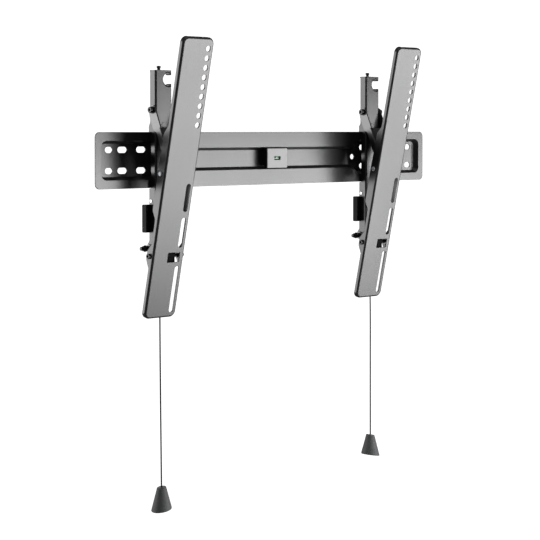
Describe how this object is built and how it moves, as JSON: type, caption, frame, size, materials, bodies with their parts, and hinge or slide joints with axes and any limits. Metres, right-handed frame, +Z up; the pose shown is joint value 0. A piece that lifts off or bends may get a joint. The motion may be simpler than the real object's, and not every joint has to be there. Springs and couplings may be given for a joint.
{
  "type": "tilting tv wall bracket",
  "caption": "Black steel tilting wall bracket: a slotted wall plate with a spirit level, hook-on brackets with linked tilting arms, and pull cords that free the latches.",
  "frame": {"origin": "middle of the wall plate's back face, on the wall", "axes": "+X along the wall plate to the right as seen from the room, +Y into the wall, +Z up"},
  "size_m": [0.738, 0.1204, 0.7407],
  "materials": {
    "black_steel": "satin black powder coat",
    "zinc": "bright zinc plate",
    "black_bolt": "black oxide",
    "black_plastic": "matte moulded black",
    "cord": "braided black cord",
    "handle": "satin moulded black",
    "level_grey": "light grey moulded plastic",
    "vial": "clear yellow-green fluid"
  },
  "bodies": {
    "wall_plate": {"wall_plate": "black_steel", "level_housing": "black_plastic", "level_face": "level_grey", "level_vial": "vial"},
    "left_bracket": {"left_hook_bracket": "black_steel", "left_upper_pivot_washers": "black_bolt", "left_upper_pivot_bolt": "black_bolt", "left_upper_pivot_nut": "black_bolt", "left_lower_bracket_bolt": "black_bolt", "left_lower_bracket_nut": "black_bolt", "left_latch_pin": "zinc", "left_latch_spring": "zinc"},
    "left_screw": {"left_height_screw": "black_bolt"},
    "left_upper_link": {"left_upper_link": "black_steel"},
    "left_arm": {"left_tilt_arm": "black_steel", "left_middle_rivets": "zinc", "left_middle_spacers": "black_bolt", "left_lower_arm_bolt": "black_bolt", "left_lower_arm_nut": "black_bolt", "left_lower_spacers": "black_bolt"},
    "left_lower_link": {"left_lower_link": "black_steel"},
    "left_latch": {"left_latch_block": "black_plastic", "left_latch_catch": "black_steel", "left_pull_cord": "cord", "left_pull_handle": "handle"},
    "right_bracket": {"right_hook_bracket": "black_steel", "right_upper_pivot_washers": "black_bolt", "right_upper_pivot_bolt": "black_bolt", "right_upper_pivot_nut": "black_bolt", "right_lower_bracket_bolt": "black_bolt", "right_lower_bracket_nut": "black_bolt", "right_latch_pin": "zinc", "right_latch_spring": "zinc"},
    "right_screw": {"right_height_screw": "black_bolt"},
    "right_upper_link": {"right_upper_link": "black_steel"},
    "right_arm": {"right_tilt_arm": "black_steel", "right_middle_rivets": "zinc", "right_middle_spacers": "black_bolt", "right_lower_arm_bolt": "black_bolt", "right_lower_arm_nut": "black_bolt", "right_lower_spacers": "black_bolt"},
    "right_lower_link": {"right_lower_link": "black_steel"},
    "right_latch": {"right_latch_block": "black_plastic", "right_latch_catch": "black_steel", "right_pull_cord": "cord", "right_pull_handle": "handle"}
  },
  "joints": [
    {"name": "left_bracket_slide", "type": "slide", "parent": "wall_plate", "child": "left_bracket", "axis": [1, 0, 0], "range_m": [-0.095, 0.185]},
    {"name": "left_screw_turn", "type": "hinge", "parent": "left_bracket", "child": "left_screw", "pos_m": [-0.245, -0.01, 0.1], "axis": [0, 0, 1], "continuous": true},
    {"name": "left_tilt", "type": "hinge", "parent": "left_bracket", "child": "left_upper_link", "pos_m": [-0.245, -0.018, 0.0785], "axis": [1, 0, 0], "range_deg": [0, 20.63]},
    {"name": "left_arm_pivot", "type": "hinge", "parent": "left_upper_link", "child": "left_arm", "pos_m": [-0.245, -0.06255, -0.02026], "axis": [1, 0, 0], "range_deg": [-33.43, 0]},
    {"name": "left_lower_link_pivot", "type": "hinge", "parent": "left_bracket", "child": "left_lower_link", "pos_m": [-0.245, -0.0075, -0.139], "axis": [1, 0, 0], "range_deg": [0, 29.45]},
    {"name": "left_latch_pull", "type": "slide", "parent": "left_bracket", "child": "left_latch", "axis": [0, 0, -1], "range_m": [0, 0.01], "stiffness_N_per_m": 300, "springref_m": -0.004, "deforming": ["left_latch_spring"]},
    {"name": "right_bracket_slide", "type": "slide", "parent": "wall_plate", "child": "right_bracket", "axis": [1, 0, 0], "range_m": [-0.15, 0.115]},
    {"name": "right_screw_turn", "type": "hinge", "parent": "right_bracket", "child": "right_screw", "pos_m": [0.225, -0.01, 0.1], "axis": [0, 0, 1], "continuous": true},
    {"name": "right_tilt", "type": "hinge", "parent": "right_bracket", "child": "right_upper_link", "pos_m": [0.225, -0.018, 0.0785], "axis": [1, 0, 0], "range_deg": [0, 20.63]},
    {"name": "right_arm_pivot", "type": "hinge", "parent": "right_upper_link", "child": "right_arm", "pos_m": [0.225, -0.06255, -0.02026], "axis": [1, 0, 0], "range_deg": [-33.43, 0]},
    {"name": "right_lower_link_pivot", "type": "hinge", "parent": "right_bracket", "child": "right_lower_link", "pos_m": [0.225, -0.0075, -0.139], "axis": [1, 0, 0], "range_deg": [0, 29.45]},
    {"name": "right_latch_pull", "type": "slide", "parent": "right_bracket", "child": "right_latch", "axis": [0, 0, -1], "range_m": [0, 0.01], "stiffness_N_per_m": 300, "springref_m": -0.004, "deforming": ["right_latch_spring"]}
  ],
  "couplings": [
    {"joint": "left_arm_pivot", "follows": "left_tilt", "ratio": -1.6204},
    {"joint": "left_lower_link_pivot", "follows": "left_tilt", "ratio": 1.4274},
    {"joint": "right_arm_pivot", "follows": "right_tilt", "ratio": -1.6204},
    {"joint": "right_lower_link_pivot", "follows": "right_tilt", "ratio": 1.4274}
  ]
}
